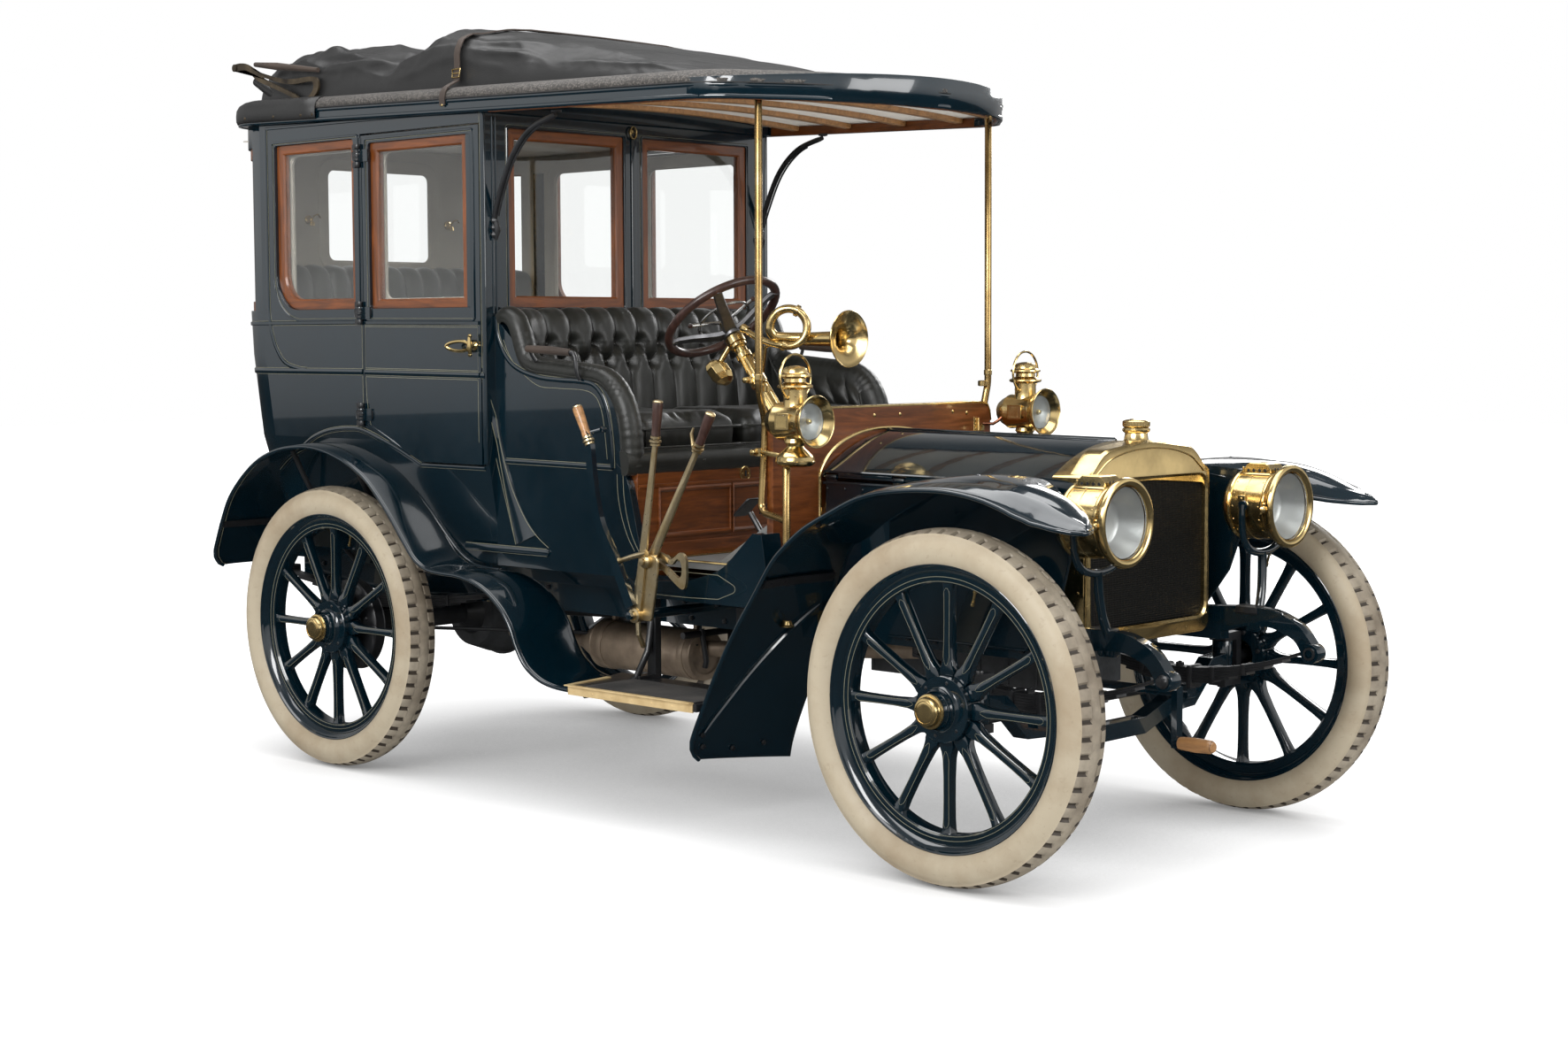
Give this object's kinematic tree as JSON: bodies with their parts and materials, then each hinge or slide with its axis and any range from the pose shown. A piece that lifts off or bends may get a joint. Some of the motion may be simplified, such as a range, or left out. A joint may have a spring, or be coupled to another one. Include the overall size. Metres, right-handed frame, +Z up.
{
  "type": "brass era car",
  "caption": "Right-hand-drive brass era town car with an enclosed rear cabin, open driver's bench under a long roof, wooden spoked wheels and acetylene lamps.",
  "frame": {"origin": "ground level under the middle of the overall length and width", "axes": "+X towards the front of the car, +Y towards its left side, +Z up"},
  "size_m": [3.8092, 1.61, 2.4178],
  "materials": {
    "body_blue": "gloss",
    "black_iron": "satin",
    "grey_iron": "matt",
    "brass": "polished",
    "core": "matt",
    "mahogany": "varnished",
    "black_leather": "satin",
    "floor_grey": "matt",
    "tyre": "matt",
    "glass": "clear"
  },
  "bodies": {
    "car": {"body_platform": "floor_grey", "bonnet_hinge_rod": "brass", "cabin_back": "body_blue", "cabin_floor": "floor_grey", "cabin_front": "body_blue", "cabin_glass": "glass", "cabin_sides": "body_blue", "chassis_frame": "body_blue", "dash_board": "mahogany", "door_hinge_brackets": "black_iron", "driver_seat_back": "black_leather", "driver_seat_cushion": "black_leather", "driver_seat_sides": "body_blue", "engine_block": "grey_iron", "exhaust_silencer": "grey_iron", "front_axle": "body_blue", "front_fenders": "body_blue", "front_floor": "floor_grey", "gearbox_and_shaft": "grey_iron", "hand_levers": "brass", "headlamp_brackets": "body_blue", "headlamps": "brass", "heel_board": "mahogany", "horn": "brass", "lamp_glasses": "glass", "radiator_core": "core", "radiator_shell": "brass", "rear_axle": "black_iron", "rear_fenders": "body_blue", "rear_seat": "black_leather", "roof": "body_blue", "roof_cover": "black_leather", "roof_irons": "black_iron", "running_boards": "body_blue", "side_lamps": "brass", "springs": "black_iron", "starting_handle": "body_blue", "steering_column": "brass", "windscreen_posts": "brass"},
    "front_wheel_right_body": {"front_wheel_right": "body_blue", "front_tyre_right": "tyre"},
    "rear_wheel_right_body": {"rear_wheel_right": "body_blue", "rear_tyre_right": "tyre"},
    "knuckle_right_body": {"steering_knuckle_right": "body_blue"},
    "door_right_body": {"rear_door_right": "body_blue", "rear_door_glass_right": "glass"},
    "bonnet_top_right_body": {"bonnet_top_right": "body_blue"},
    "bonnet_side_right_body": {"bonnet_side_right": "body_blue"},
    "front_wheel_left_body": {"front_wheel_left": "body_blue", "front_tyre_left": "tyre"},
    "rear_wheel_left_body": {"rear_wheel_left": "body_blue", "rear_tyre_left": "tyre"},
    "knuckle_left_body": {"steering_knuckle_left": "body_blue"},
    "door_left_body": {"rear_door_left": "body_blue", "rear_door_glass_left": "glass"},
    "bonnet_top_left_body": {"bonnet_top_left": "body_blue"},
    "bonnet_side_left_body": {"bonnet_side_left": "body_blue"},
    "tie_rod_body": {"tie_rod": "black_iron"},
    "hand_wheel_body": {"steering_wheel": "mahogany"}
  },
  "joints": [
    {"name": "steer_right", "type": "hinge", "parent": "car", "child": "knuckle_right_body", "pos_m": [1.43725, -0.58, 0.4675], "axis": [0, 0, 1], "range_deg": [-25, 25]},
    {"name": "front_wheel_right_spin", "type": "hinge", "parent": "knuckle_right_body", "child": "front_wheel_right_body", "pos_m": [1.43725, -0.7, 0.4675], "axis": [0, 1, 0], "continuous": true},
    {"name": "rear_wheel_right_spin", "type": "hinge", "parent": "car", "child": "rear_wheel_right_body", "pos_m": [-1.19275, -0.7, 0.4675], "axis": [0, 1, 0], "continuous": true},
    {"name": "door_right_swing", "type": "hinge", "parent": "car", "child": "door_right_body", "pos_m": [-1.10675, -0.651, 1.5], "axis": [0, 0, -1], "range_deg": [0, 75]},
    {"name": "bonnet_right_lift", "type": "hinge", "parent": "car", "child": "bonnet_top_right_body", "pos_m": [0.62225, 0, 1.145], "axis": [-0.9999, 0, 0.0108], "range_deg": [0, 45]},
    {"name": "bonnet_right_fold", "type": "hinge", "parent": "bonnet_top_right_body", "child": "bonnet_side_right_body", "pos_m": [0.62825, -0.294, 1.018], "axis": [-0.9988, -0.0473, 0.0109], "range_deg": [-46, 1]},
    {"name": "steer_left", "type": "hinge", "parent": "car", "child": "knuckle_left_body", "pos_m": [1.43725, 0.58, 0.4675], "axis": [0, 0, 1], "range_deg": [-25, 25]},
    {"name": "front_wheel_left_spin", "type": "hinge", "parent": "knuckle_left_body", "child": "front_wheel_left_body", "pos_m": [1.43725, 0.7, 0.4675], "axis": [0, 1, 0], "continuous": true},
    {"name": "rear_wheel_left_spin", "type": "hinge", "parent": "car", "child": "rear_wheel_left_body", "pos_m": [-1.19275, 0.7, 0.4675], "axis": [0, 1, 0], "continuous": true},
    {"name": "door_left_swing", "type": "hinge", "parent": "car", "child": "door_left_body", "pos_m": [-1.10675, 0.651, 1.5], "axis": [0, 0, 1], "range_deg": [0, 75]},
    {"name": "bonnet_left_lift", "type": "hinge", "parent": "car", "child": "bonnet_top_left_body", "pos_m": [0.62225, 0, 1.145], "axis": [0.9999, 0, -0.0108], "range_deg": [0, 45]},
    {"name": "bonnet_left_fold", "type": "hinge", "parent": "bonnet_top_left_body", "child": "bonnet_side_left_body", "pos_m": [0.62825, 0.294, 1.018], "axis": [0.9988, -0.0473, -0.0109], "range_deg": [-46, 1]},
    {"name": "tie_rod_pivot", "type": "hinge", "parent": "knuckle_right_body", "child": "tie_rod_body", "pos_m": [1.28725, -0.58, 0.3769], "axis": [0, 0, 1], "range_deg": [-26, 26]},
    {"name": "hand_wheel_turn", "type": "hinge", "parent": "car", "child": "hand_wheel_body", "pos_m": [0.18525, -0.26, 1.485], "axis": [-0.6115, 0, 0.7912], "range_deg": [-252, 252]}
  ],
  "couplings": [
    {"joint": "steer_left", "follows": "steer_right", "ratio": 1},
    {"joint": "tie_rod_pivot", "follows": "steer_right", "ratio": -1},
    {"joint": "hand_wheel_turn", "follows": "steer_right", "ratio": 10},
    {"joint": "bonnet_right_fold", "follows": "bonnet_right_lift", "ratio": -1},
    {"joint": "bonnet_left_fold", "follows": "bonnet_left_lift", "ratio": -1}
  ]
}
